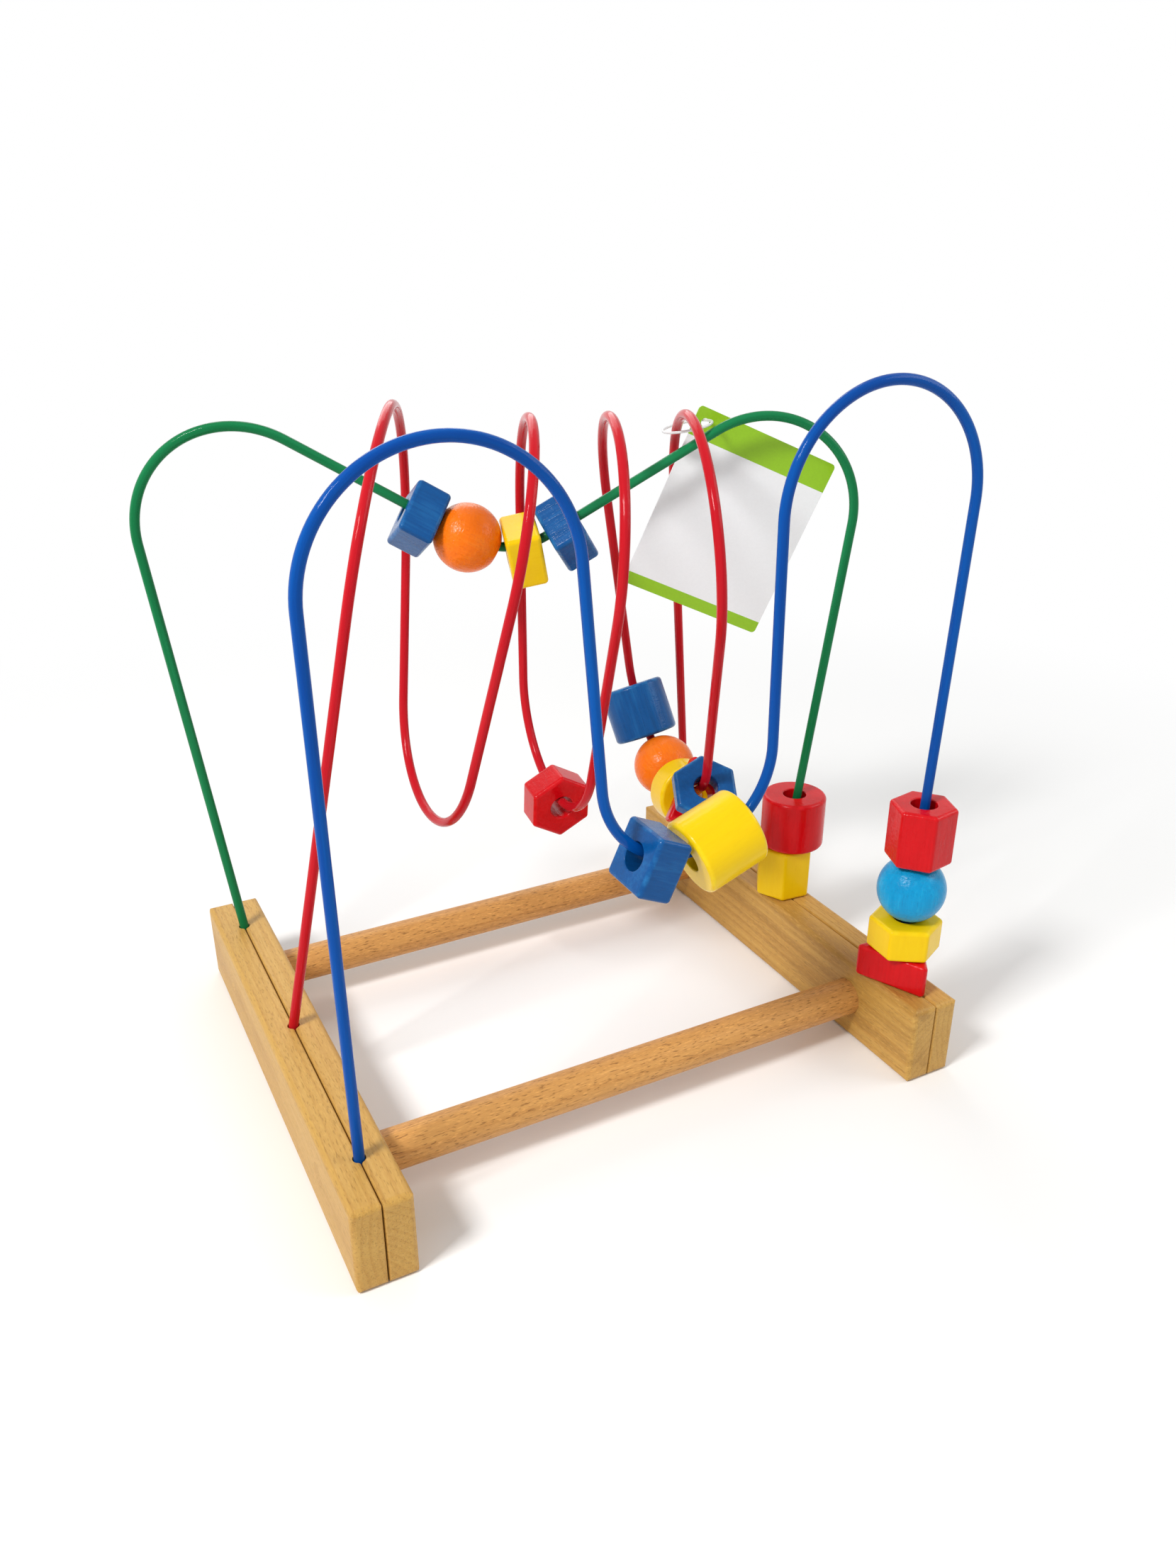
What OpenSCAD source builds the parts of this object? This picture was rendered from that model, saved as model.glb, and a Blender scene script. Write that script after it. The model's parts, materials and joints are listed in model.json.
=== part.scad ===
// Bead maze: two slatted wooden rails joined by two dowels carry three bent,
// plastic-coated wires, and wooden beads of plain shapes run along each wire.
// Millimetres. X runs along the dowels, the front is at -Y, and the rails stand on Z = 0.

/* [Base] */
// Length of each rail, front to back
rail_length = 250; // [225:1:300]
// Height of each rail
rail_height = 40; // [36:1:55]
// Thickness of one of the two slats in a rail
slat_thickness = 12.5; // [11:0.5:18]
// Radius of the softened slat edges
slat_edge = 2.5; // [1:0.25:4]
// Radius of the slat edges along the seam between two slats
seam_edge = 1; // [0.5:0.25:2]
// Gap along the seam between the two slats of a rail
seam_gap = 0.5; // [0.2:0.1:0.8]
// Clear space between the two rails
rail_span = 244.5; // [235:0.5:265]
// Diameter of the two cross dowels
dowel_d = 18; // [14:0.5:24]
// Distance between the dowel axes
dowel_spacing = 155; // [120:1:170]
// Height of the dowel axes above the ground
dowel_height = 21; // [17:0.5:24]

/* [Fasteners] */
// Shank diameter of the wood screws
screw_d = 4; // [3:0.5:5]
// Head diameter of the wood screws
screw_head_d = 8; // [6:0.5:9]
// Height of the screw head
screw_head_h = 3; // [2:0.5:3.5]
// How far each screw reaches into its dowel
screw_grip = 22; // [15:1:35]
// Diameter of the wooden plug over each screw
plug_d = 10; // [9.5:0.5:12]
// Length of the plug
plug_length = 5; // [3:0.5:5]

/* [Wires] */
// Diameter of the coated wire
wire_d = 4.5; // [3.5:0.1:5]
// Depth of the hole that holds each wire end
socket_depth = 28; // [18:1:32]
// Distance of the outer wire holes from the middle of a rail
hole_offset = 97; // [90:1:105]
// Bend radius where a wire leaves its rail
foot_bend = 12; // [8:1:20]

/* [Green wire] */
// How far the corner of each arch stands outside its foot
green_overhang = 33; // [20:1:40]
// Height of the corner that each arch rounds off
green_corner = 331; // [315:1:345]
// Bend radius of the two arches
green_arch = 46; // [38:1:50]
// Height of the corner that the valley rounds off
green_valley = 229; // [220:1:240]
// Bend radius of the valley
green_valley_bend = 36; // [32:1:40]

/* [Blue wire] */
// Height of the left arch
blue_left_crest = 310; // [295:1:325]
// Lean of the left arch's outer side from the left hole
blue_left_lean = -2.5; // [-8:0.5:4]
// Width of the left arch
blue_left_width = 97; // [85:0.5:105]
// Height of the trough
blue_trough = 138.5; // [132:0.5:145]
// Distance of the trough's left side from the left hole
blue_trough_start = 110; // [104:0.5:116]
// Width of the trough
blue_trough_width = 76.5; // [72:0.5:90]
// Height of the right arch
blue_right_crest = 318; // [300:0.5:330]
// How far the right arch's inner side leans back over the trough
blue_right_back = 4; // [0:0.5:8]
// Overhang of the right arch's outer side past the right hole
blue_right_overhang = 11.5; // [4:0.5:16]

/* [Red wire] */
// Height of the first crest
red_first_crest = 302; // [295:1:312]
// Height of the other crests
red_crest = 296.5; // [288:0.5:305]
// Height of the troughs
red_trough = 107.5; // [100:0.5:114]
// Step between crests along X
red_crest_pitch = 32; // [30:0.5:35]
// Step between troughs along X
red_trough_pitch = 67; // [64:0.5:70]
// Front edge of the first crest
red_front = 26; // [20:0.5:30]
// Step of the front edges towards the front, loop by loop
red_front_drift = 24; // [20:0.5:26]
// Run of each trough from back to front
red_trough_run = 82; // [76:0.5:88]
// Front corner of the first crest, left of the middle
red_start_x = 86.5; // [80:0.5:92]
// Back corner of the first crest, left of the middle
red_back_x = 19; // [14:0.5:24]
// Back corner of the first crest, behind the middle
red_back_y = 120; // [112:0.5:122]
// Back edge of the second crest, and the step of the next ones towards the front
red_crest_back = 63; // [58:0.5:68]
red_crest_step = 15; // [12:0.5:18]
// Back corner of the first trough, left of the middle and behind it
red_low_x = 46.5; // [42:0.5:50]
red_low_y = 90; // [86:0.5:94]
// Step of the trough's back corners towards the front
red_low_step = 8.5; // [6:0.5:11]
// Slant of the first trough along X, and what each next trough adds to it
red_slant = 2.5; // [0:0.5:5]
red_slant_step = 4; // [2:0.5:6]

/* [Beads] */
// Bore through every bead
bore_d = 12; // [11.5:0.25:12.5]
// Radius of the softened bead edges
bead_edge = 2; // [1:0.25:3]
// Diameter of the balls
ball_d = 32; // [29:0.5:33]
// Diameter of the drums
drum_d = 33.5; // [30:0.5:35]
// Width of the square beads
square_w = 26; // [24:0.5:27]
// Width of the flat hexagonal beads across their flats
hexagon_w = 30; // [27:0.5:31]
// Width of the tall hexagonal beads across their flats
pillar_w = 27; // [25:0.5:30]
// Side of the triangular beads
triangle_side = 38; // [34:0.5:40]
// Thickness of the flat beads
flat_h = 16.5; // [13:0.5:17]
// Thickness of the thin beads
thin_h = 9; // [8:0.5:10]
// Length of the drums and tall hexagons
tall_h = 28.5; // [24:0.5:29]

/* [Hang tag] */
// Width of the card
tag_w = 74; // [50:1:80]
// Height of the card
tag_h = 90; // [60:1:95]
// Thickness of the card
tag_t = 0.8; // [0.5:0.1:1.5]
// Radius of the card's corners
tag_corner = 2; // [1:0.5:5]
// Diameter of the punched hole
tag_hole = 4; // [3.5:0.1:5]
// Radius of the plastic loop
loop_r = 11.5; // [11:0.5:13]
// Thickness of the plastic loop
loop_d = 1.2; // [1:0.1:1.6]

/* [Clearances] */
// Gap between glued or resting flat faces
seat = 0.1; // [0.05:0.05:0.2]
// Gap between a pin, a plug or a dowel and its hole
fit = 0.1; // [0.05:0.05:0.2]
// Gap between a wire and its hole in the rail
socket_fit = 0.5; // [0.3:0.05:0.6]
// Gap between a bore and the wire it hangs on
run_fit = 0.3; // [0.25:0.05:0.4]
// Gap between neighbouring beads
bead_gap = 0.4; // [0.3:0.1:1]

/* [Hidden] */
$fn = 64;
wood = [0.85, 0.68, 0.45];
green = [0.06, 0.5, 0.22];
red = [0.85, 0.1, 0.12];
blue = [0.08, 0.3, 0.75];
sky = [0.2, 0.55, 0.85];
yellow = [0.98, 0.78, 0.05];
orange = [0.95, 0.45, 0.08];
// A ball a hair thicker than the rod closes each joint between a straight and a bend.
joint_swell = 0.03;
joint_gap = 0.1;

seam_x = rail_span / 2 + slat_thickness + seam_gap / 2;
outer_x = seam_x + seam_gap / 2 + slat_thickness;
socket_floor = rail_height - socket_depth;
holes_y = [hole_offset, 0, -hole_offset];
dowels_y = [dowel_spacing / 2, -dowel_spacing / 2];
plug_depth = plug_length + screw_head_h + fit;
slack = (bore_d - wire_d) / 2 - run_fit;

function unit(v) = v / norm(v);
// Turning angle at corner i of a run of points
function turn(p, i) = acos(unit(p[i] - p[i - 1]) * unit(p[i + 1] - p[i]));
// Length that the bend at corner i takes from each side
function cut(p, r, i) = i == 0 || i == len(p) - 1 ? 0 : r[i] * tan(turn(p, i) / 2);
// Radius with which the bends at corners i and i + 1 meet in the middle of their side
function fill(p, i) = norm(p[i + 1] - p[i]) / (tan(turn(p, i) / 2) + tan(turn(p, i + 1) / 2));
// Centre of the bend at corner i, and the normal of its plane
function bend_centre(p, r, i) =
  p[i] + unit(unit(p[i + 1] - p[i]) - unit(p[i] - p[i - 1])) * r[i] / cos(turn(p, i) / 2);
function bend_normal(p, i) = unit(cross(p[i] - p[i - 1], p[i + 1] - p[i]));
// Direction out of a trough's centre at an angle from its lowest point, along the run
function trough_out(n, a) = unit([0, 0, -1] + n * n[2]) * cos(a) + cross(n, unit([0, 0, -1] + n * n[2])) * sin(a);
// Point at height z on the straight from a to b
function at_height(a, b, z) = a + (b - a) * (z - a[2]) / (b[2] - a[2]);
// How far the upper side of a wire bent to radius r rises over a length x along its tangent
function rise(x, r) = r - wire_d / 2 - sqrt(pow(r - wire_d / 2, 2) - x * x);
// How far a bead of length h hangs below a wire bent to radius r
function drop(h, r) = slack - rise(h / 2, r);
ball_run = sqrt(ball_d * ball_d - bore_d * bore_d);

// Green wire: one upright plane from the back left hole to the middle right hole.
green_a = [-seam_x, hole_offset, 0];
green_b = [seam_x, 0, 0];
green_run = norm(green_b - green_a);
green_dir = unit(green_b - green_a);
green_back = [-green_dir[1], green_dir[0], 0];
function green_at(s, z) = green_a + green_dir * s + [0, 0, z];
green_pts = [
  green_at(0, socket_floor + seat),
  green_at(0, rail_height),
  green_at(-green_overhang, green_corner),
  green_at(green_run / 2, green_valley),
  green_at(green_run + green_overhang, green_corner),
  green_at(green_run, rail_height),
  green_at(green_run, socket_floor + seat)
];
green_r = [0, foot_bend, green_arch, green_valley_bend, green_arch, foot_bend, 0];

// Blue wire: two arches and a trough in an upright plane at the front.
function blue_at(x, z) = [-seam_x + x, -hole_offset, z];
blue_trough_end = blue_trough_start + blue_trough_width;
blue_pts = [
  blue_at(0, socket_floor + seat),
  blue_at(0, rail_height),
  blue_at(blue_left_lean, blue_left_crest),
  blue_at(blue_left_lean + blue_left_width, blue_left_crest),
  blue_at(blue_trough_start, blue_trough),
  blue_at(blue_trough_end, blue_trough),
  blue_at(blue_trough_end - blue_right_back, blue_right_crest),
  blue_at(2 * seam_x + blue_right_overhang, blue_right_crest),
  blue_at(2 * seam_x, rail_height),
  blue_at(2 * seam_x, socket_floor + seat)
];
blue_fill = [fill(blue_pts, 2), fill(blue_pts, 4), fill(blue_pts, 6)];
blue_r = [
  0, foot_bend, blue_fill[0], blue_fill[0], blue_fill[1], blue_fill[1],
  blue_fill[2], blue_fill[2], foot_bend, 0
];

// Red wire: a coil that fans out below. Each loop rises at the front, falls at the back
// and swings forward along a trough. A trough and its two sides share one plane.
loops = 4;
function far_top(k) = [
  red_crest_pitch * k - red_back_x,
  k == 0 ? red_back_y : red_crest_back - red_crest_step * (k - 1),
  k == 0 ? red_first_crest : red_crest
];
function far_low(k) = [red_trough_pitch * k - red_low_x, red_low_y - red_low_step * k, red_trough];
function near_low(k) = far_low(k) - [red_slant + red_slant_step * k, red_trough_run, 0];
function near_top(k) = k == 0
  ? [-red_start_x, -red_front, red_first_crest]
  : on_trough_plane(k - 1, -red_front - red_front_drift * k, red_crest);
function on_trough_plane(k, y, z) =
  let (o = far_low(k), n = cross(far_top(k) - o, near_low(k) - o))
  [o[0] - (n[1] * (y - o[1]) + n[2] * (z - o[2])) / n[0], y, z];
function red_loop(k) = k < loops - 1
  ? [near_top(k), far_top(k), far_low(k), near_low(k)]
  : [near_top(k), far_top(k)];
red_pts = [
  [-seam_x, 0, socket_floor + seat],
  [-seam_x, 0, rail_height],
  for (k = [0 : loops - 1]) each red_loop(k),
  [seam_x, hole_offset, rail_height],
  [seam_x, hole_offset, socket_floor + seat]
];
red_r = [
  0, foot_bend,
  for (i = [2 : 2 : len(red_pts) - 4]) each [fill(red_pts, i), fill(red_pts, i)],
  foot_bend, 0
];

module frame_at(o, x, y, z) {
  multmatrix([
    [x[0], y[0], z[0], o[0]],
    [x[1], y[1], z[1], o[1]],
    [x[2], y[2], z[2], o[2]],
    [0, 0, 0, 1]
  ]) children();
}

// Rod between two points
module rod(a, b) {
  z = unit(b - a);
  x = unit(cross(abs(z[2]) < 0.9 ? [0, 0, 1] : [1, 0, 0], z));
  frame_at(a, x, cross(z, x), z) cylinder(d = wire_d, h = norm(b - a));
}

// Bend that rounds off corner i of a run
module bend(p, r, i) {
  d1 = unit(p[i] - p[i - 1]);
  d2 = unit(p[i + 1] - p[i]);
  c = bend_centre(p, r, i);
  n = bend_normal(p, i);
  start = p[i] - d1 * cut(p, r, i);
  end = p[i] + d2 * cut(p, r, i);
  x = unit(start - c);
  short = joint_gap / r[i] * 180 / PI;
  frame_at(c, x, cross(n, x), n)
    rotate([0, 0, short])
      rotate_extrude(angle = turn(p, i) - 2 * short, $fn = 96)
        translate([r[i], 0]) circle(d = wire_d);
  translate(start) joint();
  if (norm(p[i + 1] - end) - cut(p, r, i + 1) > joint_gap) translate(end) joint();
}

// Ball that closes a joint between a straight and a bend, or between two bends
module joint() {
  sphere(d = wire_d + 2 * joint_swell);
}

// Wire along a run of corners, each rounded to its own radius
module wire(p, r) {
  last = len(p) - 1;
  for (i = [0 : last - 1]) {
    d = unit(p[i + 1] - p[i]);
    a = p[i] + d * (cut(p, r, i) + (i > 0 ? joint_gap : 0));
    b = p[i + 1] - d * (cut(p, r, i + 1) + (i < last - 1 ? joint_gap : 0));
    if ((b - a) * d > 0.05) rod(a, b);
  }
  for (i = [1 : last - 1]) bend(p, r, i);
}

// Rectangle with round corners, centred
module rounded(w, h, r) {
  square([w - 2 * r, h], center = true);
  square([w, h - 2 * r], center = true);
  for (x = [-1, 1], y = [-1, 1]) {
    translate([x * (w / 2 - r), y * (h / 2 - r)]) circle(r = r);
  }
}

// Section of a slat, centred: softer corners on its open side, at +X, than along the seam
module slat_section(h) {
  intersection() {
    translate([-slat_thickness / 2, 0]) rounded(2 * slat_thickness, h, slat_edge);
    translate([slat_thickness / 2, 0]) rounded(2 * slat_thickness, h, seam_edge);
  }
}

// Plain slat with softened edges, its seam at x and its open side towards +X or -X
module slat(x, open) {
  translate([x + open * slat_thickness / 2, 0, rail_height / 2]) rotate([0, 0, open > 0 ? 0 : 180]) intersection() {
    linear_extrude(rail_height, center = true) slat_section(rail_length);
    rotate([90, 0, 0]) linear_extrude(rail_length, center = true) slat_section(rail_height);
    rotate([90, 0, 90]) linear_extrude(slat_thickness, center = true) rounded(rail_length, rail_height, slat_edge);
  }
}

// Holes for the wire ends, half in each slat of a rail
module sockets(side) {
  for (y = holes_y) {
    translate([side * seam_x, y, socket_floor])
      cylinder(d = wire_d + 2 * socket_fit, h = socket_depth + 1);
  }
}

module inner_slat(side) {
  color(wood) difference() {
    slat(side * (seam_x - seam_gap / 2), -side);
    sockets(side);
    for (y = dowels_y) {
      translate([side * (seam_x - seam_gap / 2 - slat_thickness - 1), y, dowel_height])
        rotate([0, side * 90, 0]) cylinder(d = dowel_d + 2 * fit, h = slat_thickness + 2);
    }
  }
}

module outer_slat(side) {
  color(wood) difference() {
    slat(side * (seam_x + seam_gap / 2), side);
    sockets(side);
    for (y = dowels_y) {
      translate([side * (outer_x - plug_depth), y, dowel_height])
        rotate([0, side * 90, 0]) cylinder(d = plug_d + 2 * fit, h = plug_depth + 1);
      translate([side * (seam_x - 1), y, dowel_height])
        rotate([0, side * 90, 0]) cylinder(d = screw_d + 2 * fit, h = slat_thickness);
    }
  }
}

module left_inner_slat() inner_slat(-1);
module left_outer_slat() outer_slat(-1);
module right_inner_slat() inner_slat(1);
module right_outer_slat() outer_slat(1);

module dowel(y) {
  color(wood) translate([0, y, dowel_height]) rotate([0, 90, 0]) difference() {
    cylinder(d = dowel_d, h = 2 * (seam_x - seat), center = true);
    for (side = [-1, 1]) {
      translate([0, 0, side * (seam_x - (screw_grip + 1) / 2 + 1)])
        cylinder(d = screw_d + 2 * fit, h = screw_grip + 3, center = true);
    }
  }
}

module front_dowel() dowel(dowels_y[1]);
module back_dowel() dowel(dowels_y[0]);

// Places a child at each of the four ends of the dowels, its +Z pointing outwards
module at_dowel_ends(depth) {
  for (side = [-1, 1], y = dowels_y) {
    translate([side * (outer_x - depth), y, dowel_height])
      rotate([0, side * 90, 0]) children();
  }
}

module frame_screws() {
  reach = outer_x - seam_x - plug_depth + screw_grip;
  color([0.7, 0.7, 0.68]) at_dowel_ends(plug_depth) difference() {
    union() {
      translate([0, 0, fit / 2]) cylinder(d = screw_head_d, h = screw_head_h);
      translate([0, 0, 4 - reach]) cylinder(d = screw_d, h = reach - 3.5);
      translate([0, 0, -reach]) cylinder(d1 = 0.6, d2 = screw_d, h = 4.01);
    }
    for (a = [0, 90]) {
      rotate([0, 0, a]) translate([0, 0, screw_head_h]) cube([screw_head_d * 0.6, 1, 3], center = true);
    }
  }
}

module screw_plugs() {
  color(wood * 0.93) at_dowel_ends(plug_length) cylinder(d = plug_d, h = plug_length);
}

module green_wire() {
  color(green) wire(green_pts, green_r);
}

module red_wire() {
  color(red) wire(red_pts, red_r);
}

module blue_wire() {
  color(blue) wire(blue_pts, blue_r);
}

// Bead shapes, centred, with the bore along Z
module bore(h) {
  cylinder(d = bore_d, h = h + 2, center = true);
}

module ball() {
  difference() {
    sphere(d = ball_d);
    bore(ball_d);
  }
}

module drum(h) {
  difference() {
    rotate_extrude() intersection() {
      rounded(drum_d, h, bead_edge);
      translate([0, -h]) square([drum_d, 2 * h]);
    }
    bore(h);
  }
}

// Prism of n sides with a given width between a side and the axis
module prism(n, reach, h) {
  corner = reach / cos(180 / n) - bead_edge / cos(180 / n);
  difference() {
    hull() {
      for (i = [0 : n - 1], a = [0, 40, 80]) {
        rotate([0, 0, 360 * i / n]) translate([corner, 0, 0])
          cylinder(r = bead_edge * cos(a), h = h - 2 * bead_edge * (1 - sin(a)), center = true, $fn = 16);
      }
    }
    bore(h);
  }
}

module square_bead(h) prism(4, square_w / 2, h);
module hexagon(h) prism(6, hexagon_w / 2, h);
module pillar(h) prism(6, pillar_w / 2, h);
module triangle(h) prism(3, triangle_side / (2 * sqrt(3)), h);

// Sets a bead on a wire at o along t, hanging by d, and turned by roll from its upright pose
module hung(o, t, d, roll) {
  up = unit([0, 0, 1] - t * t[2]);
  frame_at(o - up * d, up, cross(t, up), t) rotate([0, 0, roll]) children();
}

// Beads on the green wire: four in the valley, two standing at the right foot
green_fall = unit(green_pts[3] - green_pts[2]);
green_rise = unit(green_pts[4] - green_pts[3]);
green_left_end = green_pts[3] - green_fall * cut(green_pts, green_r, 3);
green_right_end = green_pts[3] + green_rise * cut(green_pts, green_r, 3);
green_centre = bend_centre(green_pts, green_r, 3);
// Place of the ball above the valley bend, and how far its bore reaches into that bend
ball_up = 1;
ball_reach = ball_run / 2 - ball_up;
ball_drop = slack - rise(ball_reach, green_valley_bend);
// The square right of the lowest point
valley_a = 10.5;
valley_out = [0, 0, -cos(valley_a)] + green_dir * sin(valley_a);
valley_t = [0, 0, sin(valley_a)] + green_dir * cos(valley_a);

module green_bead_1() {
  u = ball_up + ball_run / 2 + flat_h / 2 + bead_gap;
  color(blue) hung(green_left_end - green_fall * u, green_fall, slack, 102) square_bead(flat_h);
}

module green_bead_2() {
  color(orange) hung(green_left_end - green_fall * ball_up, green_fall, ball_drop, 0) ball();
}

module green_bead_3() {
  o = green_centre + valley_out * green_valley_bend;
  color(yellow) hung(o, valley_t, drop(flat_h, green_valley_bend), 62) square_bead(flat_h);
}

module green_bead_4() {
  color(blue) hung(green_right_end + green_rise * 8.5, green_rise, slack, 90) square_bead(flat_h);
}

// Stacks a bead upright on a straight leg from a to b, its underside at height z
module stood(a, b, z, h, roll) {
  translate(at_height(a, b, z + h / 2)) rotate([0, 0, roll]) children();
}

green_foot_z = rail_height + seat;

module green_bead_5() {
  color(red) stood(green_pts[5], green_pts[4], green_foot_z + tall_h + bead_gap, tall_h, 0) drum(tall_h);
}

module green_bead_6() {
  color(yellow) stood(green_pts[5], green_pts[4], green_foot_z, tall_h, -4) pillar(tall_h);
}

// Beads on the red wire: one in the second trough, five in the third
red_2 = [bend_centre(red_pts, red_r, 8), bend_normal(red_pts, 8), red_r[8]];
red_3 = [bend_centre(red_pts, red_r, 12), bend_normal(red_pts, 12), red_r[12]];

// Sets a bead of length h in a trough (centre, normal, radius), at an angle from its lowest point
module in_trough(trough, a, h, roll) {
  out = trough_out(trough[1], a);
  hung(trough[0] + out * trough[2], cross(trough[1], out), drop(h, trough[2]), roll) children();
}

// Angle in a trough of radius r that half a bead takes up: half length h, reaching w above the wire
function half_angle(h, w, r) =
  let (a = h - bead_edge, b = r - w + bead_edge)
  atan2(a, b) + asin((bead_edge + bead_gap / 2) / norm([a, b]));

red_ball_a = -23;
// The ball nests a little into the ends of its neighbours
red_ball_half = asin((ball_d / 2 + bead_gap / 2) / red_3[2]) - 2.5;
red_drum_half = half_angle(flat_h / 2, drum_d / 2 - drop(flat_h, red_3[2]), red_3[2]);
red_tri_half = half_angle(thin_h / 2, triangle_side / sqrt(3) - bead_edge - drop(thin_h, red_3[2]), red_3[2]);
red_hex_half = half_angle(thin_h / 2, hexagon_w / 2 - drop(thin_h, red_3[2]), red_3[2]);
red_tall_half = half_angle(tall_h / 2, drum_d / 2 - drop(tall_h, red_3[2]), red_3[2]);
red_2_a = red_ball_a - red_ball_half - red_tall_half;
red_4_a = red_ball_a + red_ball_half + red_drum_half;
red_5_a = red_4_a + red_drum_half + red_tri_half;
red_6_a = red_5_a + red_tri_half + red_hex_half;

module red_bead_1() {
  color(red) in_trough(red_2, -6, flat_h, 0) hexagon(flat_h);
}

module red_bead_2() {
  color(blue) in_trough(red_3, red_2_a, tall_h, 0) drum(tall_h);
}

module red_bead_3() {
  color(orange) in_trough(red_3, red_ball_a, ball_run, 0) ball();
}

module red_bead_4() {
  color(yellow) in_trough(red_3, red_4_a, flat_h, 0) drum(flat_h);
}

module red_bead_5() {
  color(red) in_trough(red_3, red_5_a, thin_h, 0) triangle(thin_h);
}

module red_bead_6() {
  color(blue) in_trough(red_3, red_6_a, thin_h, 0) hexagon(thin_h);
}

// Beads on the blue wire: two in the trough, four standing at the right foot
blue_bowl = [bend_centre(blue_pts, blue_r, 4), bend_normal(blue_pts, 4), blue_r[4]];
blue_drum_a = 21;
blue_drum_half = half_angle(tall_h / 2, drum_d / 2 - drop(tall_h, blue_bowl[2]), blue_bowl[2]);
blue_square_half = half_angle(flat_h / 2, square_w / 2 - drop(flat_h, blue_bowl[2]), blue_bowl[2]);
blue_square_a = blue_drum_a - blue_drum_half - blue_square_half;

module blue_bead_1() {
  color(blue) in_trough(blue_bowl, blue_square_a, flat_h, 45) square_bead(flat_h);
}

module blue_bead_2() {
  color(yellow) in_trough(blue_bowl, blue_drum_a, tall_h, 0) drum(tall_h);
}

blue_6_z = rail_height + seat;
blue_5_z = blue_6_z + flat_h + bead_gap;
blue_4_z = blue_5_z + flat_h + bead_gap;
blue_3_z = blue_4_z + ball_run + bead_gap;

module blue_bead_3() {
  color(red) stood(blue_pts[8], blue_pts[7], blue_3_z, tall_h, 10) pillar(tall_h);
}

module blue_bead_4() {
  color(sky) stood(blue_pts[8], blue_pts[7], blue_4_z, ball_run, 0) ball();
}

module blue_bead_5() {
  color(yellow) stood(blue_pts[8], blue_pts[7], blue_5_z, flat_h, -34) hexagon(flat_h);
}

module blue_bead_6() {
  color(red) stood(blue_pts[8], blue_pts[7], blue_6_z, flat_h, 24) triangle(flat_h);
}

// Hang tag: the loop goes round the last crest of the red wire, and the card hangs from it
// behind the green wire, leaning on the red one.
last_top = 2 + 4 * (loops - 1) + 1;
crest_c = bend_centre(red_pts, red_r, last_top);
crest_n = bend_normal(red_pts, last_top);
crest_x = unit(red_pts[last_top] - unit(red_pts[last_top] - red_pts[last_top - 1]) * cut(red_pts, red_r, last_top) - crest_c);
crest_a = 36;
crest_q = crest_c + red_r[last_top] * (crest_x * cos(crest_a) + cross(crest_n, crest_x) * sin(crest_a));
loop_dir = unit([0.96, 0.2, 0.16]);
loop_y = unit(green_back - loop_dir * (green_back * loop_dir));
loop_c = crest_q + loop_dir * (loop_r - wire_d / 2 - loop_d / 2 - 1.5);
tag_lean = -23.5;
tag_x = green_dir * cos(tag_lean) + [0, 0, sin(tag_lean)];
tag_y = cross(green_back, tag_x) * -1;
tag_inset = [5.5, 6.5];
tag_o = loop_c + loop_dir * loop_r - [0, 0, tag_hole / 2 - loop_d / 2 - run_fit];

module hang_tag() {
  color([0.95, 0.95, 0.95]) frame_at(tag_o, tag_x, tag_y, -green_back)
    linear_extrude(tag_t, center = true) difference() {
      translate([tag_w / 2 - tag_inset[0], tag_inset[1] - tag_h / 2]) rounded(tag_w, tag_h, tag_corner);
      circle(d = tag_hole);
    }
}

module tag_loop() {
  color([0.97, 0.97, 0.97]) frame_at(loop_c, loop_dir, loop_y, cross(loop_dir, loop_y))
    rotate_extrude() translate([loop_r, 0]) circle(d = loop_d, $fn = 24);
}

left_outer_slat();
left_inner_slat();
right_inner_slat();
right_outer_slat();
front_dowel();
back_dowel();
frame_screws();
screw_plugs();
green_wire();
red_wire();
blue_wire();
green_bead_1();
green_bead_2();
green_bead_3();
green_bead_4();
green_bead_5();
green_bead_6();
red_bead_1();
red_bead_2();
red_bead_3();
red_bead_4();
red_bead_5();
red_bead_6();
blue_bead_1();
blue_bead_2();
blue_bead_3();
blue_bead_4();
blue_bead_5();
blue_bead_6();
hang_tag();
tag_loop();
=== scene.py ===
"""Bead maze: the finishes of its wood, wires and card, and finer wires and beads over the solids.

Sizes and places are in millimetres, and MM turns them into metres when a mesh is made.
X runs along the dowels, the front is at -Y, and the rails stand on Z = 0.
"""
import json
import math

import bpy
from mathutils import Matrix, Vector


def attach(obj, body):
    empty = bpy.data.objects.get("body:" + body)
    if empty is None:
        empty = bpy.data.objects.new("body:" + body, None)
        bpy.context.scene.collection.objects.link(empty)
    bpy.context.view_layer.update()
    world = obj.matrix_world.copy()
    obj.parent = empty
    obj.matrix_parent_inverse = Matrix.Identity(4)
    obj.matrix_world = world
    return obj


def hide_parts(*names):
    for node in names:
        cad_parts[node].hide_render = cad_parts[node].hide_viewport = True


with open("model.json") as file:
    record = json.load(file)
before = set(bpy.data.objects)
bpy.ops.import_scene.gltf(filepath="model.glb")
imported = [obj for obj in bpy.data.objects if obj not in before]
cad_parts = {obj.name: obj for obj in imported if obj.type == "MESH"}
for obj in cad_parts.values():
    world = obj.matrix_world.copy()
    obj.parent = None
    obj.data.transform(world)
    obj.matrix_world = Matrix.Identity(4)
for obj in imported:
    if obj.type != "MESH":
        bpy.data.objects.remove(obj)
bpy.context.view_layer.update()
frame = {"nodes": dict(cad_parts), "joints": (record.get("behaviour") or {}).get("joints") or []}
solids = frame["nodes"]

MM = 0.001

# Driving sizes of the object, as in its solids
RAIL_HEIGHT = 40
SEAM_X = 135
SOCKET_FLOOR = 12.1
HOLE_OFFSET = 97
FOOT_BEND = 12
WIRE_D = 4.5

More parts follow.
